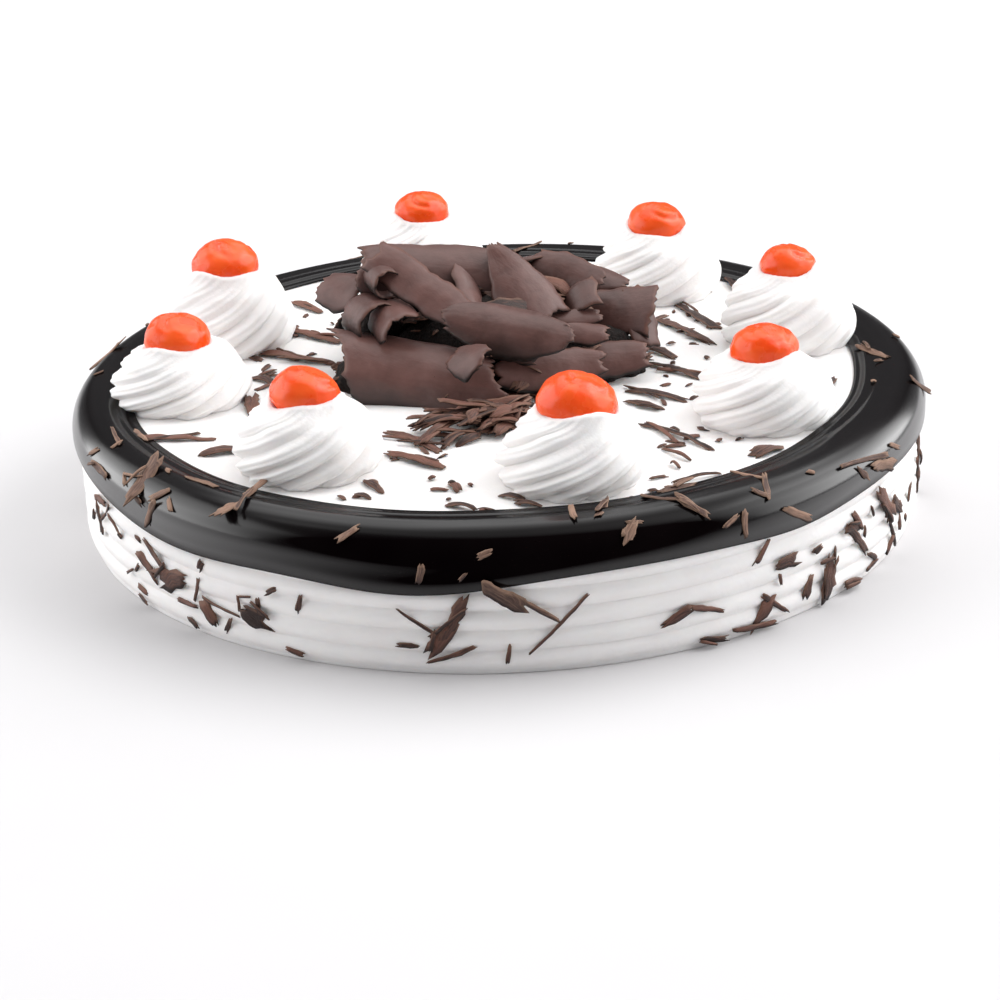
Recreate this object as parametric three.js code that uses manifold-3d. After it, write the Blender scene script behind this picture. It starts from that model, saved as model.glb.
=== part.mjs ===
// A black forest cake: a low round cream cake with combed sides, a dark chocolate glaze poured over its rim,
// eight piped cream rosettes with a glace cherry pressed into each, and a loose pile of broad chocolate
// curls in the middle. Small chocolate flakes lie scattered over the top, the glaze and the side. Units are
// millimetres, +Z is up, and the origin is the middle of the flat underside.
import * as THREE from "three";
import { mergeVertices } from "three/addons/utils/BufferGeometryUtils.js";
import Module from "manifold-3d";

const wasm = await Module();
wasm.setup();

// Driving dimensions, from a nine inch cake
const cakeRadius = 117.2; // to the crests of the combed side
const cakeTop = 37; // the level cream top
const gap = 0.3; // air left between pieces that touch
const roundSteps = 56; // facets round the cake, a multiple of four
const mergeDistance = 1e-4; // points nearer than this are one point

const radians = THREE.MathUtils.degToRad;
const cosDeg = (degrees) => Math.cos(radians(degrees));
const sinDeg = (degrees) => Math.sin(radians(degrees));

// A repeatable draw between 0 and 1 for the number n
function chance(n) {
  const spread = Math.sin(n * 12.9898) * 43758.5453;
  return spread - Math.floor(spread);
}

// Solids and meshes

// The closed solid of a geometry, with shared vertices merged and flattened triangles left out
function solidOf(geometry) {
  const bare = geometry.index ? geometry.toNonIndexed() : geometry.clone();
  bare.deleteAttribute("normal");
  bare.deleteAttribute("uv");
  const merged = mergeVertices(bare, mergeDistance);
  const index = merged.index.array;
  const triVerts = [];
  for (let i = 0; i < index.length; i += 3) {
    const [a, b, c] = index.slice(i, i + 3);
    if (a !== b && b !== c && c !== a) triVerts.push(a, b, c);
  }
  return new wasm.Manifold(
    new wasm.Mesh({
      numProp: 3,
      vertProperties: merged.attributes.position.array,
      triVerts: new Uint32Array(triVerts),
    }),
  );
}

// A closed geometry from rings of points, each ring the same length: the rings are skinned in order. Rings
// that close on themselves, end to end, make a torus; otherwise the first and the last ring are capped by a
// middle point.
function skin(rings, closed) {
  const positions = rings.flat().flatMap((p) => [p.x, p.y, p.z]);
  const index = [];
  const count = rings[0].length;
  const strips = closed ? rings.length : rings.length - 1;
  for (let i = 0; i < strips; i++) {
    const here = i * count;
    const next = ((i + 1) % rings.length) * count;
    for (let j = 0; j < count; j++) {
      const k = (j + 1) % count;
      index.push(here + j, here + k, next + k, here + j, next + k, next + j);
    }
  }
  if (!closed) {
    const cap = (ring, start, turned) => {
      const middle = ring.reduce((sum, p) => sum.add(p), new THREE.Vector3()).divideScalar(count);
      positions.push(middle.x, middle.y, middle.z);
      const m = positions.length / 3 - 1;
      for (let j = 0; j < count; j++) {
        const k = (j + 1) % count;
        index.push(...(turned ? [m, start + k, start + j] : [m, start + j, start + k]));
      }
    };
    cap(rings[0], 0, true);
    cap(rings[rings.length - 1], (rings.length - 1) * count, false);
  }
  const geometry = new THREE.BufferGeometry();
  geometry.setAttribute("position", new THREE.Float32BufferAttribute(positions, 3));
  geometry.setIndex(index);
  return geometry;
}

// The largest single body of a solid: a loose scrap left by a cut is dropped
function largestBody(solid) {
  const bodies = solid.decompose();
  return bodies.reduce((best, body) => (body.volume() > best.volume() ? body : best));
}

// A mesh to add to the scene graph, from a solid
function meshOf(solid, name, material) {
  const { numProp, vertProperties, triVerts } = solid.getMesh();
  const geometry = new THREE.BufferGeometry();
  const positions = new Float32Array((vertProperties.length / numProp) * 3);
  for (let i = 0; i < positions.length / 3; i++) {
    positions.set(vertProperties.subarray(i * numProp, i * numProp + 3), i * 3);
  }
  geometry.setAttribute("position", new THREE.BufferAttribute(positions, 3));
  geometry.setIndex(new THREE.BufferAttribute(triVerts, 1));
  geometry.computeVertexNormals();
  const mesh = new THREE.Mesh(geometry, material);
  mesh.name = name;
  return mesh;
}

const cream = new THREE.MeshStandardMaterial({ color: "#f7f3ee", roughness: 0.55, metalness: 0 });
const glazeChocolate = new THREE.MeshStandardMaterial({ color: "#1d1416", roughness: 0.12, metalness: 0 });
const cherryRed = new THREE.MeshStandardMaterial({ color: "#f04a1e", roughness: 0.18, metalness: 0 });
const curlChocolate = new THREE.MeshStandardMaterial({ color: "#5a3d38", roughness: 0.45, metalness: 0 });

// The rosettes and their cherries, anticlockwise from the front: azimuth in degrees, distance from the
// middle, height of the cherry's middle above the cream, half the cherry's width, and how far the swirl
// leans to the right
const toppings = [
  { azimuth: 282.2, out: 82, cherryAt: 20, cherryHalf: 10.2, lean: 2.2 },
  { azimuth: 329, out: 82, cherryAt: 18.6, cherryHalf: 8.9 },
  { azimuth: 11.5, out: 85, cherryAt: 22, cherryHalf: 7.8 },
  { azimuth: 53, out: 82, cherryAt: 20.6, cherryHalf: 8.6 },
  { azimuth: 105, out: 82, cherryAt: 23, cherryHalf: 8.2 },
  { azimuth: 157, out: 84, cherryAt: 23.4, cherryHalf: 9.6 },
  { azimuth: 188, out: 88, cherryAt: 17.2, cherryHalf: 9.2 },
  { azimuth: 233, out: 82, cherryAt: 20, cherryHalf: 9 },
];

// Cream cake: one lathe-turned solid, its side combed with a toothed scraper, its top edge rounded
const combPitch = 5.4;
const combDepth = 1.1;
const footInset = 1.6; // the side draws in at its very foot
const combCrests = [4.1, 9.2, 14.7, 20.1]; // heights of the ridges that show under the glaze
const shoulderInset = 9; // how far in from the side the top edge starts to round over
const shoulderDrop = 6.5; // and how far down the side it ends
const shoulderSteps = 4;

// The cake's outline from the flat of the top over the shoulder and down the side, by a length along it, in
// millimetres from the start of the flat: a point and the direction that faces out
const flatStart = 95;
const flatLength = cakeRadius - shoulderInset - flatStart;
const roundProduct = (3 * shoulderInset + shoulderDrop) * (shoulderInset + 3 * shoulderDrop);
const arcLength = (Math.PI / 4) * (3 * (shoulderInset + shoulderDrop) - Math.sqrt(roundProduct));
function shoulder(length) {
  if (length <= flatLength) {
    return { r: flatStart + length, z: cakeTop, nr: 0, nz: 1 };
  }
  const along = length - flatLength;
  if (along >= arcLength) {
    return { r: cakeRadius, z: cakeTop - shoulderDrop - (along - arcLength), nr: 1, nz: 0 };
  }
  const turn = (Math.PI / 2) * (along / arcLength);
  const nr = Math.sin(turn) / shoulderInset;
  const nz = Math.cos(turn) / shoulderDrop;
  const norm = Math.hypot(nr, nz);
  return {
    r: cakeRadius - shoulderInset + shoulderInset * Math.sin(turn),
    z: cakeTop - shoulderDrop + shoulderDrop * Math.cos(turn),
    nr: nr / norm,
    nz: nz / norm,
  };
}

function cakeSolid() {
  const outline = [new THREE.Vector2(0, 0), new THREE.Vector2(cakeRadius - footInset, 0)];
  for (const crest of combCrests) {
    outline.push(new THREE.Vector2(cakeRadius - combDepth, crest - combPitch / 2));
    outline.push(new THREE.Vector2(cakeRadius, crest));
  }
  const highest = combCrests[combCrests.length - 1];
  outline.push(new THREE.Vector2(cakeRadius - combDepth, highest + combPitch / 2));
  for (let i = shoulderSteps; i >= 0; i--) {
    const { r, z } = shoulder(flatLength + (arcLength * i) / shoulderSteps);
    outline.push(new THREE.Vector2(r, z));
  }
  outline.push(new THREE.Vector2(0, cakeTop));
  const turned = new THREE.LatheGeometry(outline, roundSteps);
  turned.rotateX(Math.PI / 2);
  return solidOf(turned);
}

// Chocolate glaze: a glossy coat poured over the rim, with two fine ripples along its inner edge, a full
// rounded shoulder, and a lower edge that hangs in broad shallow lobes
const glazeThickness = 1.6;
const glazeSteps = 10; // from its inner edge over the shoulder to its lower edge
const glazeLowLevel = 26.6; // the height of its lower edge between lobes
const glazeInner = { radius: 100.6, drift: 1.7, driftAt: 35, wave: 0.35, waves: 5 }; // its inner edge wanders
const glazeRipple = { reach: 9, depth: 0.35, pitch: 3.6 }; // along the inner edge
const glazeEdge = 0.15; // its thickness at both edges
const glazeFullness = 0.35; // the lower, the sooner it is at full thickness
const glazeLobes = [
  // [azimuth of the lobe, half its width in degrees, how far it hangs down]
  [226, 17, 3.6],
  [258, 15, 4.6],
  [309, 9, 1.3],
  [352, 12, 2.4],
  [28, 10, 1.4],
  [66, 14, 3.2],
  [101, 9, 1.6],
  [137, 15, 3.4],
  [176, 11, 2.2],
];

function glazeLowEdge(azimuth) {
  return glazeLobes.reduce((height, [middle, half, hang]) => {
    const away = ((azimuth - middle + 540) % 360) - 180;
    return height - hang * Math.exp(-((away / half) ** 2));
  }, glazeLowLevel);
}

function glazeInnerEdge(azimuth) {
  const { radius, drift, driftAt, wave, waves } = glazeInner;
  return radius - drift * cosDeg(azimuth - driftAt) + wave * sinDeg(waves * azimuth);
}

// Where the coat starts and ends, as lengths along the cake's outline
function glazeSpan(azimuth) {
  return {
    start: glazeInnerEdge(azimuth) - flatStart,
    end: flatLength + arcLength + cakeTop - shoulderDrop - glazeLowEdge(azimuth),
  };
}

// The coat's thickness at a share of the way from its inner edge to its lower edge
function glazeCoat(share, length) {
  const { reach, depth, pitch } = glazeRipple;
  const ripples = length < reach ? depth * Math.cos((2 * Math.PI * length) / pitch) : 0;
  const rounded = Math.sin(Math.PI * Math.min(1, Math.max(0, share))) ** glazeFullness;
  return glazeEdge + (glazeThickness + ripples - glazeEdge) * rounded;
}

function glazeSolid(grow) {
  const rings = [];
  for (let i = 0; i < roundSteps; i++) {
    const azimuth = (360 * i) / roundSteps;
    const { start, end } = glazeSpan(azimuth);
    const ring = [];
    const add = (length, lift) => {
      const { r, z, nr, nz } = shoulder(length);
      const out = r + nr * lift;
      ring.push(new THREE.Vector3(out * cosDeg(azimuth), out * sinDeg(azimuth), z + nz * lift));
    };
    for (let j = 0; j <= glazeSteps; j++) {
      const share = j / glazeSteps;
      const lift = gap + grow + glazeCoat(share, (end - start) * share);
      add(start - grow + (end - start + 2 * grow) * share, lift);
    }
    // The underside follows the facets of the cream
    add(end + grow, gap - grow);
    for (let j = shoulderSteps; j >= 0; j--) add(flatLength + (arcLength * j) / shoulderSteps, gap - grow);
    add(start - grow, gap - grow);
    rings.push(ring);
  }
  return solidOf(skin(rings, true));
}

// Chocolate flakes: thin slivers that lie on the cream and the glaze, pressed in a little. On the level top a
// flake's middle arches up, and where the cake curves away its ends stand free.
const flakeThickness = 1;
const flakeSink = 0.35;
const topArch = 1.2;

// A flake round its own middle: length along X, width along Y, lying on z = 0
function flake(length, width, arch) {
  const stations = [
    // [place along it, share of the width, share of the arch]
    [-0.5, 0.3, 0],
    [-0.05, 1, 1],
    [0.5, 0.45, 0],
  ];
  const rings = stations.map(([along, wide, high]) => {
    const x = along * length;
    const y = (wide * width) / 2;
    const low = high * arch - flakeSink;
    return [
      new THREE.Vector3(x, -y, low),
      new THREE.Vector3(x, y, low),
      new THREE.Vector3(x, y, low + flakeThickness),
      new THREE.Vector3(x, -y, low + flakeThickness),
    ];
  });
  return skin(rings, false);
}

// Turns a geometry that lies on z = 0 by its heading, and puts it on a surface: `across` is the direction on
// the surface that heading 0 points along, and `outward` faces away from it
function layOn(geometry, { place, across, outward }, heading) {
  const upward = new THREE.Vector3().crossVectors(outward, across);
  const seat = new THREE.Matrix4().makeBasis(across, upward, outward).setPosition(place);
  return geometry.applyMatrix4(seat.multiply(new THREE.Matrix4().makeRotationZ(radians(heading))));
}

// Places on the cream top, on the side and on the glaze
const onTop = (x, y) => ({
  place: new THREE.Vector3(x, y, cakeTop),
  across: new THREE.Vector3(1, 0, 0),
  outward: new THREE.Vector3(0, 0, 1),
});

const onSide = (azimuth, height) => ({
  place: new THREE.Vector3(cakeRadius * cosDeg(azimuth), cakeRadius * sinDeg(azimuth), height),
  across: new THREE.Vector3(-sinDeg(azimuth), cosDeg(azimuth), 0),
  outward: new THREE.Vector3(cosDeg(azimuth), sinDeg(azimuth), 0),
});

function onGlaze(azimuth, length) {
  const { r, z, nr, nz } = shoulder(length);
  const { start, end } = glazeSpan(azimuth);
  const lift = gap + glazeCoat((length - start) / (end - start), length - start);
  const out = r + nr * lift;
  return {
    place: new THREE.Vector3(out * cosDeg(azimuth), out * sinDeg(azimuth), z + nz * lift),
    across: new THREE.Vector3(-sinDeg(azimuth), cosDeg(azimuth), 0),
    outward: new THREE.Vector3(nr * cosDeg(azimuth), nr * sinDeg(azimuth), nz),
  };
}

// The flakes that show most on the cream top: [x, y, length, width, heading]
const topFlakes = [
  [46, -55, 29, 3, -54],
  [43, -80, 10, 5, 36],
  [45, -28, 15, 2.8, -32],
  [52, -8, 18, 3, -43],
  [54, 26, 24, 3, -58],
  [-50, 33, 21, 4, -39],
  [-55, 9, 19, 4, -29],
  [-66, -22, 13, 4, -85],
  [-20, -66, 17, 3.4, -39],
  [-73, -55, 11, 4, 19],
];
// On the glaze: [azimuth, length from the start of the flat, length, width, heading]
const glazeFlakes = [
  [235, 19, 19, 5, 80],
  [217, 19, 14, 6, 80],
  [201, 14, 20, 3, -4],
  [208, 23, 18, 5, -25],
  [281, 11, 13, 3, 57],
  [291, 15, 17, 3, -48],
  [304, 13, 18, 5, -80],
  [321, 20, 24, 4, -13],
  [359, 9, 15, 3, 32],
];
// On the side: [azimuth, height, length, width, heading]
const sideFlakes = [
  [263, 12.5, 18, 5, 55],
  [271, 14.5, 20, 4, -34],
  [276, 12.5, 21, 2, 44],
  [293, 10.6, 18, 3, 4],
  [305, 8, 11, 5, 8],
  [313, 9.8, 15, 8, 25],
  [322, 12.7, 20, 4, -45],
  [329, 15, 18, 8, -35],
  [222, 14, 20, 7, -36],
  [237, 10.8, 12, 9, -32],
  [214, 6, 15, 3, -21],
];

// Further small ones round the back, drawn by chance: how many, between which azimuths, and between which
// heights on the side or lengths along the outline
const glazeSpread = { count: 3, first: 20, last: 170, low: 12, high: 20 };
const sideSpread = { count: 4, first: -5, last: 195, low: 6, high: 12 };
const spreadSize = { length: 8, longer: 8, width: 3, wider: 3, turn: 80 };
const spreadJitter = 0.6; // of the space between two of them

function spreadFlakes({ count, first, last, low, high }) {
  return Array.from({ length: count }, (_, n) => [
    first + ((last - first) * (n + spreadJitter * chance(n + 40))) / count,
    low + (high - low) * chance(n + 60),
    spreadSize.length + spreadSize.longer * chance(n + 80),
    spreadSize.width + spreadSize.wider * chance(n + 100),
    spreadSize.turn * (2 * chance(n + 120) - 1),
  ]);
}

// Fuses flakes to a solid. Each row is the two numbers of its place and its length, width and heading.
function withFlakes(solid, rows, placeOf, arch) {
  return rows.reduce(
    (whole, [a, b, length, width, heading]) =>
      whole.add(solidOf(layOn(flake(length, width, arch), placeOf(a, b), heading))),
    solid,
  );
}

// Glace cherries: squashed a little, with a shallow dent where the stone came out
const cherryDepthShare = 0.94; // front to back, against the width
const cherryHeightShare = 0.76;
const dent = { x: 0.35, z: 0.9, depth: 0.1, spread: 0.18 }; // on a ball of radius 1
const cherryFacets = { round: 10, upward: 5 };

function cherrySolid(half, grow) {
  const ball = new THREE.SphereGeometry(1, cherryFacets.round, cherryFacets.upward);
  ball.rotateX(Math.PI / 2);
  const place = ball.attributes.position;
  for (let i = 0; i < place.count; i++) {
    const [x, y, z] = [place.getX(i), place.getY(i), place.getZ(i)];
    const near = Math.exp(-((x - dent.x) ** 2 + (z - dent.z) ** 2) / dent.spread);
    const flattened = z * (1 - dent.depth * near);
    place.setXYZ(
      i,
      x * (half + grow),
      y * (half * cherryDepthShare + grow),
      flattened * (half * cherryHeightShare + grow),
    );
  }
  return solidOf(ball);
}

// Cream rosettes: piped upright with a star nozzle that turns as it lifts, so the ridges lean round to the
// right. The last turn of cream closes round the cherry.
const ridges = 9;
const pointsPerRidge = 3;
const rim = { belowCherry: 1.2, beyondCherry: 0.8, groove: 0.7, turn: 128 }; // the cream's top edge
const rosetteRows = [
  // [share of the height, radius, depth of the grooves, turn in degrees]
  [0, 17.4, 0.9, 0],
  [0.2, 19, 2.2, 20],
  [0.48, 17.8, 2.5, 54],
  [0.78, 14.4, 2.1, 92],
];
const nextHeading = 13; // each rosette starts this much further round

function rosetteSolid({ cherryAt, cherryHalf, lean = 0 }, heading) {
  const columns = ridges * pointsPerRidge;
  const height = cherryAt - rim.belowCherry;
  const rows = [...rosetteRows, [1, cherryHalf + rim.beyondCherry, rim.groove, rim.turn]];
  const rings = rows.map(([share, radius, groove, turn]) =>
    Array.from({ length: columns }, (_, j) => {
      const r = j % pointsPerRidge === 0 ? radius - groove : radius;
      const azimuth = heading + turn + (360 * j) / columns;
      return new THREE.Vector3(lean * share + r * cosDeg(azimuth), r * sinDeg(azimuth), height * share);
    }),
  );
  return solidOf(skin(rings, false));
}

// Broad chocolate curls, shaved off a block. A curl is a piece of a thin rolled sheet. Before it is turned,
// its roll axis points along X and its back faces up. `at` is the middle of its back, above the cream;
// `wide` is its width along the axis, `long` its length round the roll and `radius` the radius of the roll.
// `turn` is the heading, the tilt and the roll, in degrees. `cone` widens the roll to one end, `point`
// narrows the sheet to one end, `leaf` to both, `skew` slants it and `taper` draws in its lower edge. Edges
// tear in two sizes of wave.
const curlThickness = 1.3;
const curlRoom = 0.4; // air kept between curls that cross
const curlFacet = { turn: 0.42, wide: 11 }; // radians round the roll, millimetres along it
const broadTear = 0.05;
const fineTear = 0.03;
const curls = [
  {
    at: [-20.5, -25, 8.4],
    wide: 43,
    long: 28,
    radius: 12,
    turn: [-14, -6, 52],
    point: 0.2,
    skew: 0.3,
    taper: 0.25,
  },
  { at: [-8, -30.5, 15], wide: 12, long: 13, radius: 9, turn: [-40, 10, 38], leaf: 0.5 },
  { at: [3, -22, 20.4], wide: 36, long: 17, radius: 10, turn: [-17, -7, 45], leaf: 0.6 },
  { at: [2.2, -20, 12.4], wide: 18, long: 6, radius: 9, turn: [-22, -10, 70], leaf: 0.6 },
  { at: [14.3, -22, 8], wide: 30, long: 13, radius: 12, turn: [10, 2, 50], leaf: 0.6 },
  { at: [-21, -7, 28.4], wide: 33, long: 12, radius: 14, turn: [-38, -22, 38], leaf: 0.2 },
  { at: [-16.5, 4, 29.6], wide: 34, long: 22, radius: 13, turn: [0, -3, 42], leaf: 0.3 },
  { at: [8.5, -3, 26.6], wide: 26, long: 20, radius: 14, turn: [-62, -34, 20], point: -0.8 },
  { at: [34.5, 2, 16.2], wide: 20, long: 16, radius: 16, turn: [-20, 0, 40], cone: 0.2 },
  { at: [40.5, 0, 14.2], wide: 20, long: 10, radius: 10, turn: [-80, -35, -10], leaf: 0.3 },
  { at: [31.5, -13, 7], wide: 20, long: 12, radius: 12, turn: [6, 2, 45], leaf: 0.5 },
  { at: [-39, -8, 20.5], wide: 12, long: 26, radius: 6, turn: [-62, 0, 60] },
  { at: [-29.5, -12, 22], wide: 13, long: 18, radius: 7, turn: [-70, -5, 30], leaf: 0.3 },
  { at: [-43, 6, 24], wide: 14, long: 15, radius: 9, turn: [-40, 0, 35], leaf: 0.3 },
  { at: [-34, -3, 28.4], wide: 9, long: 18, radius: 4, turn: [-70, 0, 80] },
  { at: [20.3, 8, 25.4], wide: 22, long: 12, radius: 12, turn: [-30, -12, 45], leaf: 0.3 },
  { at: [23, -2, 21], wide: 11, long: 12, radius: 9, turn: [-80, -20, 40] },
  { at: [-6.6, -2, 25.5], wide: 18, long: 9, radius: 7, turn: [-75, -25, -30], leaf: 0.4 },
  { at: [21.7, -12, 14.5], wide: 18, long: 8, radius: 8, turn: [-8, -3, 40], leaf: 0.5 },
  { at: [22, -8, 17.4], wide: 14, long: 6, radius: 10, turn: [4, 2, 30], leaf: 0.3 },
  { at: [29.5, 16, 21], wide: 18, long: 10, radius: 9, turn: [-28, -8, 20], leaf: 0.5 },
  { at: [-16, 27, 12], wide: 36, long: 24, radius: 14, turn: [172, 4, 52], cone: 0.1, leaf: 0.2 },
  { at: [20, 26, 10], wide: 30, long: 18, radius: 10, turn: [150, -4, 48], leaf: 0.5 },
  { at: [-36, 16, 13], wide: 20, long: 16, radius: 11, turn: [-140, 6, 46], leaf: 0.4 },
  { at: [2, 17, 25], wide: 28, long: 16, radius: 12, turn: [-172, -6, 34], leaf: 0.4 },
];

function curlSolid(curl, index, grow) {
  const { at, wide, long, radius, turn, cone = 0, point = 0, leaf = 0, skew = 0, taper = 0 } = curl;
  const roundRows = Math.ceil(long / radius / curlFacet.turn);
  const wideRows = Math.ceil(wide / curlFacet.wide);
  const half = curlThickness / 2 + grow;
  const face = (side) =>
    Array.from({ length: wideRows + 1 }, (_, j) =>
      Array.from({ length: roundRows + 1 }, (_, i) => {
        const u = i / roundRows - 0.5;
        const v = j / wideRows - 0.5;
        const pointed = Math.abs(point) * (v * Math.sign(point) + 0.5) ** 2;
        const torn = 1 + broadTear * Math.sin(9 * v + index) + fineTear * Math.sin(23 * v + 2 * index);
        const arc = long * (1 - pointed - leaf * (2 * v) ** 2) * torn + 2 * grow;
        const turned = (u * arc) / radius;
        const r = radius * (1 + cone * v) + side * half;
        const ragged = 1 + broadTear * Math.sin(7 * u + index) + fineTear * Math.sin(19 * u + 3 * index);
        const x = v * (wide * ragged * (1 - taper * u) + 2 * grow) + skew * u * wide;
        return new THREE.Vector3(x, -r * Math.sin(turned), r * Math.cos(turned) - radius);
      }),
    );
  const inner = face(-1);
  const rings = face(1).map((row, j) => [...row, ...inner[j].reverse()]);
  const [heading, tilt, roll] = turn.map(radians);
  const placed = new THREE.Matrix4()
    .makeRotationZ(heading)
    .multiply(new THREE.Matrix4().makeRotationY(-tilt))
    .multiply(new THREE.Matrix4().makeRotationX(roll))
    .setPosition(...at);
  return solidOf(sheetOf(rings, roundRows + 1).applyMatrix4(placed));
}

// Skins the rings of a thin sheet and closes its two ends with strips across its thickness
function sheetOf(rings, across) {
  const count = rings[0].length;
  const positions = rings.flat().flatMap((p) => [p.x, p.y, p.z]);
  const index = [];
  for (let i = 0; i < rings.length - 1; i++) {
    for (let j = 0; j < count; j++) {
      const [a, b] = [i * count + j, i * count + ((j + 1) % count)];
      index.push(a, b, b + count, a, b + count, a + count);
    }
  }
  const end = (rings.length - 1) * count;
  for (let j = 0; j < across - 1; j++) {
    const [a, b, c, d] = [j, j + 1, count - 2 - j, count - 1 - j];
    index.push(a, c, b, a, d, c, end + a, end + b, end + c, end + a, end + c, end + d);
  }
  const geometry = new THREE.BufferGeometry();
  geometry.setAttribute("position", new THREE.Float32BufferAttribute(positions, 3));
  geometry.setIndex(index);
  return geometry;
}

// The mound of fine shavings that the curls stand in, with slivers on it where it shows at its foot
const mound = { x: -1, y: 0, reachX: 39, reachY: 30, height: 24, columns: 14, seed: 300 };
const spill = { x: -11, y: -44, reachX: 17, reachY: 11, height: 3.4, columns: 12, seed: 500 };
const moundRoom = { ...mound, reachX: mound.reachX + 1, reachY: mound.reachY + 1 };
const heapUneven = 0.12;
const spillFlakes = { count: 7, spread: 0.85, length: 10, longer: 8, width: 3, wider: 2, turn: 30 };
const moundRows = [
  // [share of the reach, share of the height]
  [1, 0],
  [0.86, 0.45],
  [0.5, 0.92],
];

function heapSolid({ x, y, reachX, reachY, height, columns, seed }) {
  const rings = moundRows.map(([out, up], i) =>
    Array.from({ length: columns }, (_, j) => {
      const azimuth = (360 * j) / columns;
      const bump = 1 + heapUneven * (chance(seed + i * columns + j) - 0.5);
      return new THREE.Vector3(
        x + reachX * out * bump * cosDeg(azimuth),
        y + reachY * out * bump * sinDeg(azimuth),
        gap + height * up * bump,
      );
    }),
  );
  return solidOf(skin(rings, false));
}

function spilledFlakes() {
  return Array.from({ length: spillFlakes.count }, (_, n) => {
    const azimuth = 360 * chance(n + 240);
    const out = spillFlakes.spread * Math.sqrt(chance(n + 260));
    return [
      spill.x + spill.reachX * out * cosDeg(azimuth),
      spill.y + spill.reachY * out * sinDeg(azimuth),
      spillFlakes.length + spillFlakes.longer * chance(n + 280),
      spillFlakes.width + spillFlakes.wider * chance(n + 300),
      spillFlakes.turn * (2 * chance(n + 320) - 1),
    ];
  });
}

function onSpill(x, y) {
  const away = Math.hypot((x - spill.x) / spill.reachX, (y - spill.y) / spill.reachY);
  return { ...onTop(x, y), place: new THREE.Vector3(x, y, gap + spill.height * (1 - away ** 2)) };
}

// The cake, put together from the bottom up
const cake = new THREE.Group();

const sideRows = [...sideFlakes, ...spreadFlakes(sideSpread)];
const creamCake = withFlakes(withFlakes(cakeSolid(), topFlakes, onTop, topArch), sideRows, onSide, 0);
cake.add(meshOf(creamCake, "cream_cake", cream));

const glazeRows = [...glazeFlakes, ...spreadFlakes(glazeSpread)];
cake.add(meshOf(withFlakes(glazeSolid(0), glazeRows, onGlaze, 0), "chocolate_glaze", glazeChocolate));

const glazeRoom = glazeSolid(gap);
toppings.forEach((topping, i) => {
  const { azimuth, out, cherryAt, cherryHalf, lean = 0 } = topping;
  const place = new THREE.Vector3(out * cosDeg(azimuth), out * sinDeg(azimuth), cakeTop);
  const swirl = rosetteSolid(topping, azimuth + nextHeading * i)
    .translate([0, 0, gap])
    .subtract(cherrySolid(cherryHalf, gap).translate([lean, 0, cherryAt]))
    .subtract(glazeRoom.translate(place.clone().negate().toArray()));
  const rosette = meshOf(largestBody(swirl), `rosette_${i + 1}`, cream);
  rosette.position.copy(place);
  const cherry = meshOf(cherrySolid(cherryHalf, 0), `cherry_${i + 1}`, cherryRed);
  cherry.position.set(lean, 0, cherryAt);
  rosette.add(cherry);
  cake.add(rosette);
});

// Each curl gives way to the ones before it in the list, and the mound of shavings to them all
const pile = new THREE.Group();
pile.position.z = cakeTop;
let taken = null;
curls.forEach((curl, i) => {
  const whole = curlSolid(curl, i, 0).trimByPlane([0, 0, 1], gap);
  const fitted = taken ? whole.subtract(taken) : whole;
  pile.add(meshOf(largestBody(fitted), `curl_${i + 1}`, curlChocolate));
  const room = curlSolid(curl, i, curlRoom);
  taken = taken ? taken.add(room) : room;
});
const core = heapSolid(mound).subtract(taken);
pile.add(meshOf(largestBody(core), "shavings_mound", curlChocolate));
const foot = withFlakes(heapSolid(spill), spilledFlakes(), onSpill, topArch)
  .trimByPlane([0, 0, 1], gap)
  .subtract(taken)
  .subtract(heapSolid(moundRoom));
pile.add(meshOf(largestBody(foot), "shavings_foot", curlChocolate));
cake.add(pile);

export default cake;
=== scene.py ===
import math

import bpy
from mathutils import Matrix, Vector, noise


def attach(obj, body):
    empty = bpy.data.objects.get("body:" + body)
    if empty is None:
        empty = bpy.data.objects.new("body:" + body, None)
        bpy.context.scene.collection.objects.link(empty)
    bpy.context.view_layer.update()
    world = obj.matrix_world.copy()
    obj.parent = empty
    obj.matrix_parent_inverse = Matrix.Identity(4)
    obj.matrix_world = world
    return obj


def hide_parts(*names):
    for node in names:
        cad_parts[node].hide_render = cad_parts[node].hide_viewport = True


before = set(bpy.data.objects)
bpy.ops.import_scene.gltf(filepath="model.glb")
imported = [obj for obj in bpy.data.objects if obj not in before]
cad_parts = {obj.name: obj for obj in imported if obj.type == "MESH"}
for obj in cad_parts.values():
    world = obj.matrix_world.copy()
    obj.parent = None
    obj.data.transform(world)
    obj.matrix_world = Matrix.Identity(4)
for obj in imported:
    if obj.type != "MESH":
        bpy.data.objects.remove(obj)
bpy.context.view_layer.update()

# Studio: a plain white table under a wide softbox, with a stronger one on the right and a weaker one on the
# left, so that the front falls into soft shade. The camera stands in front and looks down at the cake.
table_size = 9.0
look_down = math.radians(22.991)
camera_roll = math.radians(-2.2523)
camera_away = 0.76382
camera_target = Vector((-0.000693, 0, -0.002693))
lens = 96.085
softboxes = [
    # name, place, aim, width and depth, watts
    ("softbox_top", (0.2, 0.5, 1.5), (0, 0.05, 0), (2.2, 1.7), 23),
    ("softbox_right", (1.35, 0.2, 0.85), (0, 0, 0.05), (2.2, 1.6), 33),
    ("softbox_left", (-1.35, 0.2, 0.6), (0, 0, 0.05), (2.2, 1.5), 25),
]
room_light = (0.98, 0.965, 1.0)
room_strength = 0.2


def shade(red, green, blue):
    """A colour as it is picked from a picture, made linear for a shader"""
    linear = [(c / 255 / 12.92) if c <= 10 else ((c / 255 + 0.055) / 1.055) ** 2.4 for c in (red, green, blue)]
    return (*linear, 1.0)


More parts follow.
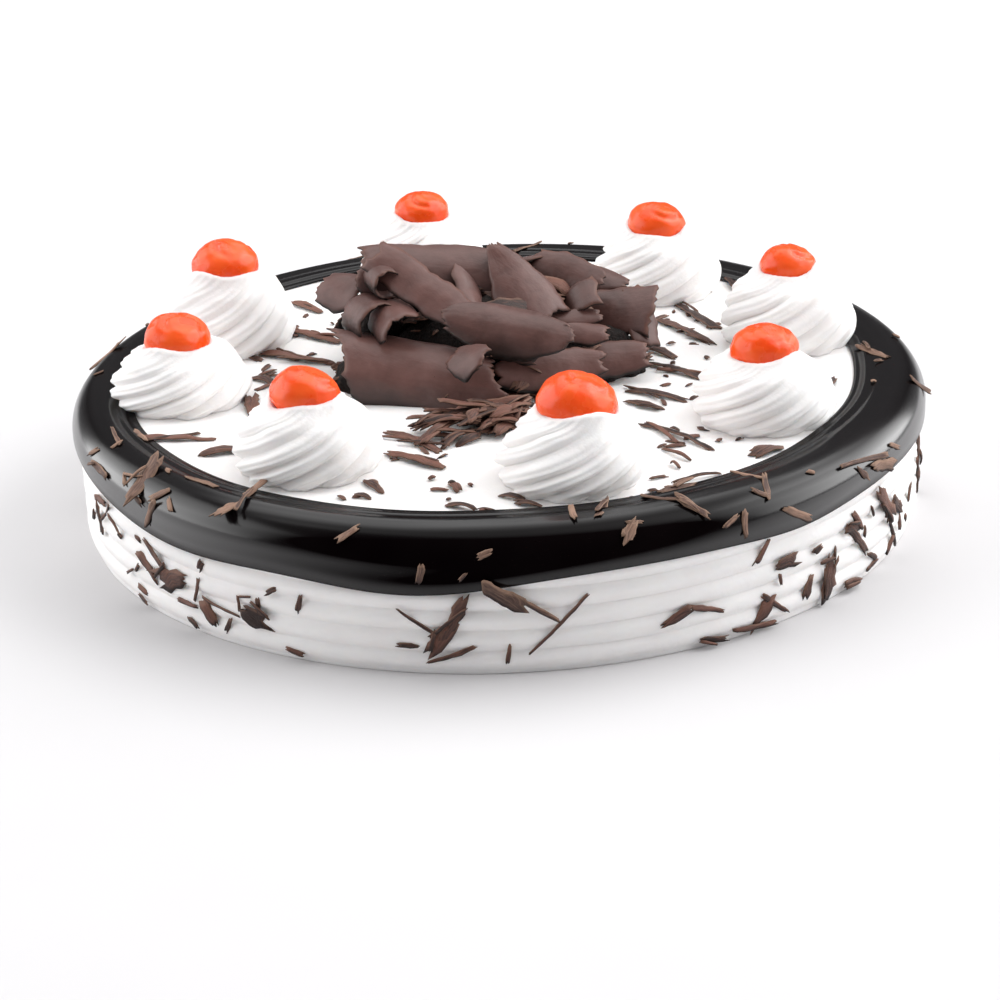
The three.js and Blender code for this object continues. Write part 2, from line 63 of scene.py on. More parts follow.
class Wire:
    """An output socket that stands in plain expressions: each operator adds the node that works it out"""

    def __init__(self, tree, socket):
        self.tree = tree
        self.socket = socket

    def node(self, kind, settings, sockets, output=0):
        """Adds a node of this kind: its settings first, then the values or links of its sockets"""
        added = self.tree.nodes.new(kind)
        for name, value in settings.items():
            setattr(added, name, value)
        for name, value in sockets.items():
            if isinstance(value, Wire):
                self.tree.links.new(value.socket, added.inputs[name])
            else:
                added.inputs[name].default_value = value
        return Wire(self.tree, added.outputs[output])

    def maths(self, operation, first, second):
        return self.node("ShaderNodeMath", {"operation": operation}, {0: first, 1: second})

    def __add__(self, other):
        return self.maths("ADD", self, other)

    def __radd__(self, other):
        return self.maths("ADD", other, self)

    def __sub__(self, other):
        return self.maths("SUBTRACT", self, other)

    def __rsub__(self, other):
        return self.maths("SUBTRACT", other, self)

    def __mul__(self, other):
        return self.maths("MULTIPLY", self, other)

    def __rmul__(self, other):
        return self.maths("MULTIPLY", other, self)

    def spread(self, low, high):
        """0 below low, 1 above high"""
        sockets = {"Value": self, "From Min": low, "From Max": high}
        return self.node("ShaderNodeMapRange", {"clamp": True}, sockets)

    def mix(self, low, high):
        """One colour where this is 0, the other where it is 1"""
        return self.node("ShaderNodeMix", {"data_type": "RGBA"}, {0: self, 6: low, 7: high}, 2)

    def scaled(self, x, y, z):
        """A point stretched along each axis"""
        return self.node("ShaderNodeVectorMath", {"operation": "MULTIPLY"}, {0: self, 1: (x, y, z)})

    def noise(self, scale, detail=3.0, roughness=0.5):
        """Cloudy noise between 0 and 1, its scale in patches a millimetre"""
        sockets = {"Vector": self, "Scale": scale, "Detail": detail, "Roughness": roughness}
        return self.node("ShaderNodeTexNoise", {"noise_dimensions": "3D"}, sockets)

    def bump(self, depth):
        """A normal from this height, with its depth in millimetres"""
        return self.node("ShaderNodeBump", {}, {"Height": self, "Distance": depth / 1000, "Strength": 1.0})

    def into(self, socket):
        self.tree.links.new(self.socket, socket)


def finish(name, **uniform):
    """A new material, its shader's sockets, and the point that is shaded, in millimetres"""
    material = bpy.data.materials.new(name)
    material.use_nodes = True
    tree = material.node_tree
    shader = tree.nodes["Principled BSDF"]
    for socket, value in uniform.items():
        shader.inputs[socket.replace("_", " ")].default_value = value
    object_point = Wire(tree, tree.nodes.new("ShaderNodeTexCoord").outputs["Object"])
    return material, shader.inputs, object_point.scaled(1000, 1000, 1000)


def mesh_object(name, points, faces, material):
    """A smooth mesh in the scene, from points in millimetres"""
    mesh = bpy.data.meshes.new(name)
    mesh.from_pydata([Vector(p) / 1000 for p in points], [], faces)
    mesh.materials.append(material)
    mesh.polygons.foreach_set("use_smooth", [True] * len(mesh.polygons))
    made = bpy.data.objects.new(name, mesh)
    bpy.context.scene.collection.objects.link(made)
    return made


table_cloth, table_sockets, point = finish("white table", Roughness=0.9, Specular_IOR_Level=0.1)
weave = point.noise(0.02, 2.0)
weave.mix(shade(217, 216, 217), shade(220, 219, 220)).into(table_sockets["Base Color"])
half = table_size * 1000 / 2
table_corners = [(-half, -half, 0), (half, -half, 0), (half, half, 0), (-half, half, 0)]
mesh_object("table", table_corners, [(0, 1, 2, 3)], table_cloth)

for name, place, aim, (width, depth), watts in softboxes:
    lamp = bpy.data.lights.new(name, "AREA")
    lamp.shape = "RECTANGLE"
    lamp.size = width
    lamp.size_y = depth
    lamp.energy = watts
    box = bpy.data.objects.new(name, lamp)
    box.location = place
    box.rotation_euler = (Vector(aim) - Vector(place)).to_track_quat("-Z", "Y").to_euler()
    bpy.context.scene.collection.objects.link(box)

world = bpy.data.worlds.new("studio")
world.use_nodes = True
world.node_tree.nodes["Background"].inputs["Color"].default_value = (*room_light, 1)
world.node_tree.nodes["Background"].inputs["Strength"].default_value = room_strength
bpy.context.scene.world = world
bpy.context.scene.view_settings.view_transform = "Standard"

camera = bpy.data.objects.new("camera", bpy.data.cameras.new("camera"))
camera.data.lens = lens
camera_turn = Matrix.Rotation(math.pi / 2 - look_down, 4, "X") @ Matrix.Rotation(camera_roll, 4, "Z")
camera_place = camera_target + camera_turn.to_3x3() @ Vector((0, 0, camera_away))
camera.matrix_world = Matrix.Translation(camera_place) @ camera_turn
bpy.context.scene.collection.objects.link(camera)
bpy.context.scene.camera = camera

# Cream cake: sponge layers covered with whipped cream, levelled on top and combed round the side with a toothed
# scraper, which leaves broad soft ridges. Its top edge is rounded over and its foot draws in.
cake_radius = 117.2
cake_top = 37
round_steps = 600
comb_crests = (4.1, 9.2, 14.7, 20.1, 25.5)
comb_reach = 2.7
comb_depth = 1.35
foot_inset = 1.6
foot_height = 1.8
bottom_rings = (4, 60, 110)
side_rows = 90
shoulder_inset = 9
shoulder_drop = 6.5
shoulder_rows = 8
flat_start = 95
flat_length = cake_radius - shoulder_inset - flat_start
round_product = (3 * shoulder_inset + shoulder_drop) * (shoulder_inset + 3 * shoulder_drop)
arc_length = math.pi / 4 * (3 * (shoulder_inset + shoulder_drop) - math.sqrt(round_product))
uneven_within = 98
unevenness = 0.35
top_rings = (104, 100, 96, 90, 82, 74, 66, 58, 50, 42, 34, 26, 18, 10, 2)


def cosd(degrees):
    return math.cos(math.radians(degrees))


def sind(degrees):
    return math.sin(math.radians(degrees))


def round_point(radius, azimuth, height):
    return Vector((radius * cosd(azimuth), radius * sind(azimuth), height))


def skin(rings, closed=False):
    """Faces over rings of points: a torus if closed, otherwise with a flat cap on the first and last ring"""
    count = len(rings[0])
    faces = []
    for i in range(len(rings) if closed else len(rings) - 1):
        here = i * count
        beyond = (i + 1) % len(rings) * count
        for j in range(count):
            k = (j + 1) % count
            faces.append((here + j, here + k, beyond + k, beyond + j))
    if not closed:
        faces.append(tuple(reversed(range(count))))
        faces.append(tuple(range((len(rings) - 1) * count, len(rings) * count)))
    return [p for ring in rings for p in ring], faces


def shoulder(length):
    """The cake's outline by a length along it from the start of the flat: its point, and which way is out"""
    if length <= flat_length:
        return flat_start + length, cake_top, 0, 1
    along = length - flat_length
    if along >= arc_length:
        return cake_radius, cake_top - shoulder_drop - (along - arc_length), 1, 0
    turn = math.pi / 2 * along / arc_length
    out = Vector((math.sin(turn) / shoulder_inset, math.cos(turn) / shoulder_drop)).normalized()
    radius = cake_radius - shoulder_inset + shoulder_inset * math.sin(turn)
    height = cake_top - shoulder_drop + shoulder_drop * math.cos(turn)
    return radius, height, out.x, out.y


def combed_radius(azimuth, height):
    """The side between two teeth of the scraper swells to a ridge, and wanders a little as the hand does"""
    wander = 0.22 * sind(3 * azimuth + 40) + 0.14 * sind(8 * azimuth)
    nearest = min(abs(height + wander - crest) for crest in comb_crests)
    groove = comb_depth * min(1, nearest / comb_reach) ** 2
    if height > comb_crests[-1]:
        groove *= max(0, (cake_top - shoulder_drop - height) / 5)
    foot = foot_inset * max(0, 1 - height / foot_height) ** 2
    uneven = 0.16 * noise.noise(round_point(8, azimuth, height / 5))
    return cake_radius - max(groove, foot) + uneven


def cream_rings():
    azimuths = [360 * k / round_steps for k in range(round_steps)]
    rings = [[round_point(r, a, 0) for a in azimuths] for r in bottom_rings]
    for i in range(side_rows + 1):
        height = (cake_top - shoulder_drop) * i / side_rows
        rings.append([round_point(combed_radius(a, height), a, height) for a in azimuths])
    for i in range(shoulder_rows, -1, -1):
        radius, height, _, _ = shoulder(flat_length + arc_length * i / shoulder_rows)
        rings.append([round_point(radius, a, height) for a in azimuths])
    for radius in top_rings:
        ring = [round_point(radius, a, cake_top) for a in azimuths]
        if radius < uneven_within:
            for p in ring:
                p.z += unevenness * noise.noise(p / 13)
        rings.append(ring)
    return rings


cream, cream_sockets, point = finish(
    "whipped cream",
    Roughness=0.48,
    IOR=1.4,
    Subsurface_Weight=0.3,
    Subsurface_Radius=(1.0, 0.85, 0.75),
    Subsurface_Scale=0.003,
)
mottle = point.noise(0.1, 4.0)
mottle.spread(0.35, 0.65).mix(shade(247, 244, 243), shade(250, 248, 246)).into(cream_sockets["Base Color"])
froth = point.noise(0.9, 4.0, 0.6) * 0.5 + mottle
froth.bump(0.25).into(cream_sockets["Normal"])
(mottle * 0.2 + 0.38).into(cream_sockets["Roughness"])

cream_cake = mesh_object("cream_cake_body", *skin(cream_rings()), cream)
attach(cream_cake, "root")
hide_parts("cream_cake")

# Chocolate flakes on the cream: slivers scraped off a block of dark chocolate and scattered while the cream was
# soft. They lie on the top and stick to the side, thin, a little bent, and split at their ends.
flake_thickness = 0.6
strands = 5
stray_flakes = 16
back_flakes = 24
top_flakes = [
    # x, y, length, width, heading
    (-86, -44, 22, 2.6, -10), (-73, -55, 12, 4, 19), (-73, 21, 18, 3, -50), (-57, 60, 14, 3, -49),
    (-54, 34, 24, 3.6, -39), (-59, 16, 30, 3.4, -29), (-66, -2, 10, 2.4, -35), (-67, -21, 14, 3.6, -85),
    (-32, -83, 9, 2.4, -65), (-35, -89, 4.5, 1.8, -31), (-12, -85, 6, 2, -67), (-10, -98, 8, 2.4, -33),
    (-22, -66, 19, 3, -39), (-23, -53, 21, 2.6, -47), (2, -93, 6, 2, -32), (6, -98, 6, 2, -18),
    (46, -57, 26, 1.8, -50), (45, -69, 11, 1, -54), (44, -76, 4, 1, -61), (39, -33, 12, 2.6, -37),
    (43, -26, 18, 2.8, -32), (49, -7, 21, 2.8, -43), (46, 8, 12, 2.8, -50), (54, 26, 26, 3, -58),
    (59, 38, 24, 3, -67), (73, 62, 24, 2.6, -80), (49, -85, 13, 1, 20), (90, -23, 10, 2.4, 65),
    (68, -69, 9, 5, 30),
]
side_flakes = [
    # azimuth, height, length, width, heading
    (203, 16, 9, 2.6, -80), (206, 20, 10, 0.8, 43), (209, 19, 8, 0.8, -23), (204, 22, 10, 2, 10),
    (220, 17.5, 11, 1.8, -34), (218, 13, 9, 2.6, -33), (223, 12.8, 12, 5.4, 17), (226, 8, 8, 1.2, 0),
    (228, 13, 7, 1, 76), (230, 7.2, 7, 3.4, -58), (232, 10.3, 13, 0.8, -10), (237, 10.2, 8, 5.4, -15),
    (236, 15, 4, 0.8, 13), (235, 12.8, 4, 0.8, 90), (238, 13, 5, 1, 89), (233, 5.8, 4, 1.2, 65),
    (229, 20, 3, 1.8, 62), (244, 16.4, 5, 1.4, 75), (243, 2.8, 5, 1.1, -14), (216, 5.2, 5, 1.5, -12),
    (216, 2.4, 5, 1, -9), (213, 8.4, 5, 0.8, 31), (259, 15, 11, 0.8, -35), (263, 14.2, 17, 2.8, 61),
    (262, 10.5, 8, 3.8, 50), (258, 8.2, 5, 1.4, -3), (263, 6, 13, 1.1, 21), (270, 6, 5, 1, 81),
    (276, 13.4, 21, 1, 45), (291, 10.9, 9, 2.2, 24), (295, 10.8, 10, 1.4, -19), (305, 7, 11, 1.4, -41),
    (303, 5.2, 8, 3.6, 51), (302, 2.4, 13, 1.6, -6), (296, 2.2, 7, 1.8, -9), (303, 22, 7, 1.8, 53),
    (307, 17.2, 7, 3.5, 0), (306, 13, 3, 0.9, -80), (315, 7.6, 11, 5.4, 77), (311, 7.6, 6, 2.4, 70),
    (316, 13, 4, 1.2, -89), (320, 17.7, 8, 2.4, -16), (321, 19, 7, 1.8, -52), (321, 13.7, 14, 2.2, -48),
    (325, 5.8, 6, 1.5, -35), (325, 3.2, 5, 1.4, 13), (320, 2.4, 8, 1.6, -9), (329, 18, 15, 4.4, -50),
    (333, 14.7, 9, 3.2, -39), (331, 8.8, 14, 0.9, -62), (347, 14.4, 19, 1, -78), (350, 16, 8, 2, 89),
]
crumb_fields = [
    # count, lowest and highest x, lowest and highest y
    (34, -66, -38, -22, 44),
    (42, 38, 68, -64, 60),
    (26, -50, 50, -104, -58),
    (22, -60, 60, 46, 96),
]


def chance(n):
    """A repeatable draw between 0 and 1 for the number n"""
    spread = math.sin(n * 12.9898) * 43758.5453
    return spread - math.floor(spread)


def sliver(length, width, arch, seed):
    """The middle of a flake's thickness: its length along X, lying on z = 0, its strands ending raggedly"""
    steps = max(5, round(length / 1.3))
    bend = 0.07 * length * (chance(seed) - 0.5)
    slant = 0.7 * width * (chance(seed + 0.37) - 0.5)
    taper = 1.1 * (chance(seed + 0.61) - 0.5)
    rows = []
    for i in range(steps + 1):
        u = i / steps - 0.5
        grain = Vector((u * length * 0.3, seed * 3.7, 0))
        wide = width * (1 + taper * u - 0.25 * abs(2 * u) ** 6) * (1 + 0.35 * noise.noise(grain))
        row = []
        for j in range(strands):
            v = j / (strands - 1) - 0.5
            torn = 1.1 * width * noise.noise(Vector((v * 6.3, seed * 1.9, 7 if u > 0 else 3)))
            nick = 0.25 * noise.noise(Vector((u * length * 0.9, v * 3, seed)))
            row.append(Vector((
                u * length + 4 * u * abs(u) * torn + slant * v,
                v * wide * (1 + nick) + bend * math.cos(math.pi * u),
                arch * (1 - 4 * u * u) + 0.5 * noise.noise(Vector((u * length * 0.2, v, seed * 5.3))),
            )))
        rows.append(row)
    return rows


class Shavings:
    """Thin sheets of chocolate gathered into one mesh"""

    def __init__(self):
        self.points = []
        self.faces = []
        self.rims = []
        self.grains = []

    def add(self, rows, thickness, seat, seed):
        """Closes a grid of points into a thin sheet on its seat, thinner at its torn edge"""
        count, across = len(rows), len(rows[0])
        first = len(self.points)
        tone = chance(seed * 3 + 1)
        for side in (0.5, -0.5):
            length = 0
            for i, row in enumerate(rows):
                if i:
                    length += (row[across // 2] - rows[i - 1][across // 2]).length
                width = 0
                for j, here in enumerate(row):
                    if j:
                        width += (here - row[j - 1]).length
                    along = rows[min(i + 1, count - 1)][j] - rows[max(i - 1, 0)][j]
                    aside = row[min(j + 1, across - 1)] - row[max(j - 1, 0)]
                    edge = min(i, count - 1 - i, j, across - 1 - j)
                    thick = thickness * (0.45 if edge == 0 else 1)
                    self.points.append(seat @ (here + along.cross(aside).normalized() * side * thick))
                    self.rims.append((1, 0.25)[edge] if edge < 2 else 0)
                    self.grains.append((length, width, tone))
        back = first + count * across
        for i in range(count - 1):
            for j in range(across - 1):
                a = i * across + j
                quad = (a, a + across, a + across + 1, a + 1)
                self.faces.append(tuple(first + k for k in quad))
                self.faces.append(tuple(back + k for k in reversed(quad)))
        loop = list(range(across))
        loop += [i * across + across - 1 for i in range(1, count)]
        loop += [(count - 1) * across + j for j in range(across - 2, -1, -1)]
        loop += [i * across for i in range(count - 2, 0, -1)]
        for a, b in zip(loop, loop[1:] + loop[:1]):
            self.faces.append((first + a, first + b, back + b, back + a))

    def add_flake(self, length, width, arch, seat, seed):
        """A flake that has split along its grain: a broad sliver with a needle or two beside it"""
        self.add(sliver(length, width, arch, seed), flake_thickness, seat, seed)
        for n in range(1, 1 + round(length / 15 + 1.4 * chance(seed + 0.21) - 0.9) * (width > 1.5)):
            part = seed + 0.13 * n
            size = length * (0.35 + 0.5 * chance(part))
            aside = Vector((
                (length - 0.6 * size) * (chance(part + 0.3) - 0.5),
                width * (1.2 * chance(part + 0.5) - 0.6),
                flake_thickness * (0.3 + 0.5 * n),
            ))
            askew = Matrix.Rotation(math.radians(60 * chance(part + 0.7) - 30), 4, "Z")
            splinter = sliver(size, 0.7 + 0.5 * chance(part + 0.9), 0.3, part)
            self.add(splinter, flake_thickness, seat @ Matrix.Translation(aside) @ askew, part)

    def made(self, name, material, *nodes):
        """The piece in the scene, which stands for these nodes"""
        piece = mesh_object(name, self.points, self.faces, material)
        rim = piece.data.attributes.new("rim", "FLOAT", "POINT")
        rim.data.foreach_set("value", self.rims)
        grain = piece.data.attributes.new("grain", "FLOAT_VECTOR", "POINT")
        grain.data.foreach_set("vector", [c for g in self.grains for c in g])
        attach(piece, "root")
        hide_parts(*nodes)
        return piece


def seat_on(place, across, outward, heading):
    """Where a flake goes: `across` is where heading 0 points on the surface, `outward` faces away from it"""
    turned = Matrix((across, outward.cross(across), outward)).transposed().to_4x4()
    return Matrix.Translation(place) @ turned @ Matrix.Rotation(math.radians(heading), 4, "Z")


def on_top(x, y, heading):
    return seat_on(Vector((x, y, cake_top + 0.3)), Vector((1, 0, 0)), Vector((0, 0, 1)), heading)


def on_side(azimuth, height, heading):
    across = Vector((-sind(azimuth), cosd(azimuth), 0))
    return seat_on(round_point(cake_radius + 0.1, azimuth, height), across, round_point(1, azimuth, 0), heading)


def chocolate(name, painted_underside_shade, dark, light, torn, streak, gloss, vary, lit=0.25):
    """Scraped dark chocolate: streaked along the cut, with painted shade in its first colour where it faces
    down or aside, fading to the plain face colour at an upward share of `lit`, other at its torn edges, and
    each piece its own tone, which varies by `vary`"""
    material, sockets, point = finish(name, Roughness=0.42, IOR=1.45)
    grain = point.node("ShaderNodeAttribute", {"attribute_name": "grain"}, {}, "Vector")
    rim = point.node("ShaderNodeAttribute", {"attribute_name": "rim"}, {}, "Fac")
    tone = grain.node("ShaderNodeSeparateXYZ", {}, {"Vector": grain}, "Z")
    streaks = grain.scaled(0.25, 2.2, 9).noise(1.0, 3.0, 0.6)
    cloudy = point.noise(0.22, 3.0)
    middle = 0.2 + (streak + vary) / 2
    body = (streaks * streak + cloudy * 0.4 + tone * vary).spread(middle - 0.25, middle + 0.25)
    torn_edge = (rim * 0.8 + cloudy - 0.5).spread(0.25, 0.9)
    face = torn_edge.mix(body.mix(shade(*dark), shade(*light)), shade(*torn))
    normal = point.node("ShaderNodeNewGeometry", {}, {}, "Normal")
    upward = point.node("ShaderNodeSeparateXYZ", {}, {"Vector": normal}, "Z")
    # Painted shade: faces that turn down or aside take the dark underside colour, as if they lay in shadow.
    upward.spread(lit - 0.75, lit).mix(shade(*painted_underside_shade), face).into(sockets["Base Color"])
    (streaks * 0.15 + (0.55 - gloss) + rim * 0.15).into(sockets["Roughness"])
    (streaks * streak + cloudy).bump(0.3).into(sockets["Normal"])
    return material


# Its first colour is painted shade, laid on faces that turn down or aside.
flake_chocolate = chocolate(
    "scraped chocolate", (34, 20, 16), (44, 25, 20), (122, 80, 66), (128, 96, 80), 1.2, 0.1, 0.6
)
cream_flakes = Shavings()
for n, (x, y, length, width, heading) in enumerate(top_flakes):
    cream_flakes.add_flake(length, width, 0.8, on_top(x, y, heading), n)
for n, (azimuth, height, length, width, heading) in enumerate(side_flakes, 50):
    cream_flakes.add_flake(length, width, 0, on_side(azimuth, height, heading), n)
for field, (count, low_x, high_x, low_y, high_y) in enumerate(crumb_fields):
    for n in range(100 * field + 100, 100 * field + 100 + count):
        x = low_x + (high_x - low_x) * chance(n)
        y = low_y + (high_y - low_y) * chance(n + 0.3)
        crumb = sliver(1.5 + 4 * chance(n + 0.5) ** 2, 0.8 + 1.2 * chance(n + 0.7), 0.2, n)
        cream_flakes.add(crumb, 0.6, on_top(x, y, 180 * chance(n + 0.9)), n)
for n in range(540, 540 + stray_flakes):
    azimuth = 200 + 45 * chance(n) if n % 3 == 0 else 312 + 34 * chance(n)
    flake = sliver(1.5 + 4 * chance(n + 0.5), 0.8 + chance(n + 0.7), 0, n)
    cream_flakes.add(flake, 0.7, on_side(azimuth, 3 + 17 * chance(n + 0.2), 180 * chance(n * 1.7)), n)
for n in range(600, 600 + back_flakes):
    azimuth = -12 + 200 * (n - 600 + 0.6 * chance(n)) / back_flakes
    seat = on_side(azimuth, 5 + 12 * chance(n + 0.2), 140 * chance(n + 0.9) - 70)
    cream_flakes.add_flake(6 + 12 * chance(n + 0.5) ** 2, 0.9 + 3.4 * chance(n + 0.7) ** 2, 0, seat, n)
cream_flakes.made("cream_flakes", flake_chocolate, "cream_cake")

# Chocolate glaze: cream and dark chocolate poured warm over the rim, where it set as a glossy coat. Its inner
# edge has two fine ripples, its shoulder is full, and its lower edge hangs in broad lobes with a thick lip.
glaze_thickness = 1.6
glaze_round_steps = 480
glaze_rows = 46
glaze_low_level = 26.6
glaze_lobes = [
    # azimuth of the lobe, half its width, how far it hangs down
    (226, 17, 3.6), (258, 15, 4.6), (309, 9, 1.3), (352, 12, 2.4), (28, 10, 1.4), (66, 14, 3.2), (101, 9, 1.6),
    (137, 15, 3.4), (176, 11, 2.2),
]
glaze_crumbs = 24
overhang_place = (271, 20.8, -34)
overhang_lift = 1.4
overhang_tip = 0.11
overhang_flakes = [
    # how far along and aside, length, width, seed
    (-4, 0, 13, 4, 98),
    (4, 0.6, 16, 1.3, 95),
]
glaze_flakes = [
    # azimuth, length along the outline, length, width, heading
    (217, 18.8, 15, 4.6, -76), (222, 20.6, 6, 2, 41), (221, 25.5, 10, 1.8, 60), (215, 19.6, 7, 0.8, 15),
    (214, 21.2, 4, 0.8, -39), (226, 14, 11, 1.4, 3), (234, 14.5, 22, 3, -89), (251, 19.5, 6, 1.8, 45),
    (207, 23, 13, 1.6, -1), (203.5, 15.2, 12, 1.1, -7), (205, 10, 9, 1.4, 2), (260, 27.4, 5, 1.8, 77),
    (265, 28, 2.5, 1, 50), (279, 13.4, 8, 1.5, 87), (283, 12, 12, 2.1, 64), (285, 20.7, 6, 3, 49),
    (286, 18.8, 4, 0.8, -10), (291, 12.5, 10, 1.1, -41), (294, 17.7, 9, 2.5, -60), (295, 7.8, 10, 2.2, 2),
    (305, 11.6, 9, 1.4, -69), (305, 18, 8, 1.6, 62), (298, 22.8, 5, 1.2, 24), (300, 24, 7, 1.9, 83),
    (308, 25.6, 11, 2.2, -32), (322, 21.4, 20, 1.3, -11), (321, 23.5, 5, 1.9, -51), (326, 25, 12, 3.2, -16),
    (330, 23, 5, 1.3, -31), (350, 21, 9, 2, -60), (359, 10, 14, 2.6, 32), (30, 14, 13, 2.4, 20),
    (58, 18, 16, 2.6, -40), (84, 12, 12, 1.4, 50), (112, 20, 15, 2.8, -15), (140, 14, 18, 1.8, 35),
    (166, 20, 12, 2.6, -60),
]


def glaze_low_edge(azimuth):
    height = glaze_low_level
    for middle, half_width, hang in glaze_lobes:
        away = (azimuth - middle + 540) % 360 - 180
        height -= hang * math.exp(-((away / half_width) ** 2))
    return height


def glaze_span(azimuth):
    """Where the coat starts and ends, as lengths along the cake's outline"""
    inner_edge = 100.6 - 1.7 * cosd(azimuth - 35) + 0.35 * sind(5 * azimuth) + 0.2 * sind(13 * azimuth)
    end = flat_length + arc_length + cake_top - shoulder_drop - glaze_low_edge(azimuth)
    return inner_edge - flat_start, end


def glaze_coat(start, end, length):
    """The coat's thickness: rippled near its inner edge, and full just above its lower edge"""
    share = min(1, max(0, (length - start) / (end - start)))
    ripples = 0.4 * math.cos(2 * math.pi * (length - start) / 3.6) * math.exp(-(((length - start) / 7) ** 2))
    bead = 0.45 * math.exp(-(((end - length - 2.4) / 2.2) ** 2))
    return 0.1 + (glaze_thickness + ripples + bead - 0.1) * math.sin(math.pi * share) ** 0.4


def glaze_point(azimuth, length, lift):
    radius, height, out, up = shoulder(length)
    return round_point(radius + out * lift, azimuth, height + up * lift)


def glaze_rings():
    rings = []
    for k in range(glaze_round_steps):
        azimuth = 360 * k / glaze_round_steps
        start, end = glaze_span(azimuth)
        ring = []
        for i in range(glaze_rows + 1):
            length = start + (end - start) * (1 - math.cos(math.pi * i / glaze_rows)) / 2
            ring.append(glaze_point(azimuth, length, 0.2 + glaze_coat(start, end, length)))
        for share in (1, 0.9, 0.6, 0.3, 0.05):
            ring.append(glaze_point(azimuth, start + (end - start) * share, -1.3 if share < 1 else -0.9))
        rings.append(ring)
    return rings


def on_glaze(azimuth, length, heading):
    start, end = glaze_span(azimuth)
    _, _, out, up = shoulder(length)
    place = glaze_point(azimuth, length, 0.5 + glaze_coat(start, end, length))
    across = Vector((-sind(azimuth), cosd(azimuth), 0))
    return seat_on(place, across, round_point(out, azimuth, up), heading)


glaze_finish, glaze_sockets, point = finish(
    "poured chocolate glaze",
    Roughness=0.4,
    Specular_IOR_Level=0.0,
    Coat_Roughness=0.2,
    Coat_IOR=2.3,
)
pour = point.noise(0.05, 2.0)
specks = point.noise(1.3, 2.0, 0.5).spread(0.66, 0.8)
pour.spread(0.3, 0.7).mix(shade(6, 3, 4), shade(11, 7, 8)).into(glaze_sockets["Base Color"])
(specks * 0.2 + 0.4).into(glaze_sockets["Roughness"])
facing = point.node("ShaderNodeLayerWeight", {}, {"Blend": 0.5}, "Facing")
normal = point.node("ShaderNodeNewGeometry", {}, {}, "Normal")
upward = point.node("ShaderNodeSeparateXYZ", {}, {"Vector": normal}, "Z")
seen_aslant = facing.spread(0.12, 0.5)
sloping = upward.spread(0.62, 0.88) - 0.22 * upward.spread(0.9, 0.98)
overhanging = 1 - upward.spread(-0.55, -0.05)
(seen_aslant * (1 - 0.8 * sloping) * (1 - 0.8 * overhanging)).into(glaze_sockets["Coat Weight"])
(pour * 1.2 + specks * 0.15).bump(0.4).into(glaze_sockets["Normal"])

glaze = mesh_object("glaze_coat", *skin(glaze_rings(), closed=True), glaze_finish)
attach(glaze, "root")
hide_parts("chocolate_glaze")

flakes_on_glaze = Shavings()
for n, (azimuth, along, length, width, heading) in enumerate(glaze_flakes, 700):
    bent = -0.035 * length * abs(sind(heading))
    flakes_on_glaze.add_flake(length, width, bent, on_glaze(azimuth, along, heading), n)
for n in range(760, 760 + glaze_crumbs):
    along = 9 + 16 * chance(n + 0.4)
    crumb = sliver(1.5 + 3 * chance(n + 0.5), 0.8 + chance(n + 0.7), 0, n)
    flakes_on_glaze.add(crumb, 0.6, on_glaze(360 * chance(n), along, 180 * chance(n + 0.9)), n)
lifted = Matrix.Translation((0, 0, overhang_lift)) @ Matrix.Rotation(overhang_tip, 4, "Y")
for along, aside, length, width, seed in overhang_flakes:
    seat = on_side(*overhang_place) @ lifted @ Matrix.Translation((along, aside, 0))
    flakes_on_glaze.add_flake(length, width, 0, seat, seed)
# Its first colour is painted shade, laid on faces that turn down or aside.
pale_chocolate = chocolate(
    "scraped chocolate, pale face", (40, 24, 20), (76, 50, 41), (156, 122, 102), (150, 120, 100), 1.2, 0.1, 0.6
)
flakes_on_glaze.made("glaze_flakes", pale_chocolate, "chocolate_glaze")

# Cream rosettes: whipped cream piped straight down through a star nozzle that turns as it lifts, which leaves
# rounded ridges that lean round to the right. The last turn closes round the cherry in a wavy rim.
toppings = [
    # azimuth, distance from the middle, height of the cherry's middle above the cream, half its width, lean
    (282.2, 82, 20, 10.2, 2.2),
    (329, 82, 18.6, 8.9, 0),
    (11.5, 85, 22, 7.8, 0),
    (53, 82, 20.6, 8.6, 0),
    (105, 82, 23, 8.2, 0),
    (157, 84, 23.4, 9.6, 0),
    (188, 88, 17.2, 9.2, 0),
    (233, 82, 20, 9, 0),
]
ridges = 9
ridge_columns = 18
swirl_rows = 44
swirl = [
    # share of the height, radius, depth of the grooves, turn
    (0, 17.6, 1.6, 0),
    (0.2, 19.4, 3, 24),
    (0.48, 18.2, 2.3, 62),
    (0.78, 14.8, 1, 104),
]
rosette_lip = ((0.9, -0.5), (2.2, 0.6), (3.4, 3.5), (6, 7))
rim_below_cherry = 1.2
next_heading = 13


def swirl_at(rows, share):
    """The radius, groove and turn at a share of the height, on a smooth curve through the rows"""
    i = max(k for k in range(len(rows) - 1) if rows[k][0] <= share or k == 0)
    before, a, b, after = rows[max(i - 1, 0)], rows[i], rows[i + 1], rows[min(i + 2, len(rows) - 1)]
    t = (share - a[0]) / (b[0] - a[0])
    values = []
    for column in (1, 2, 3):
        p, q, r, s = before[column], a[column], b[column], after[column]
        curve = q + 0.5 * t * (r - p + t * (2 * p - 5 * q + 4 * r - s + t * (3 * (q - r) + s - p)))
        values.append(curve)
    return values


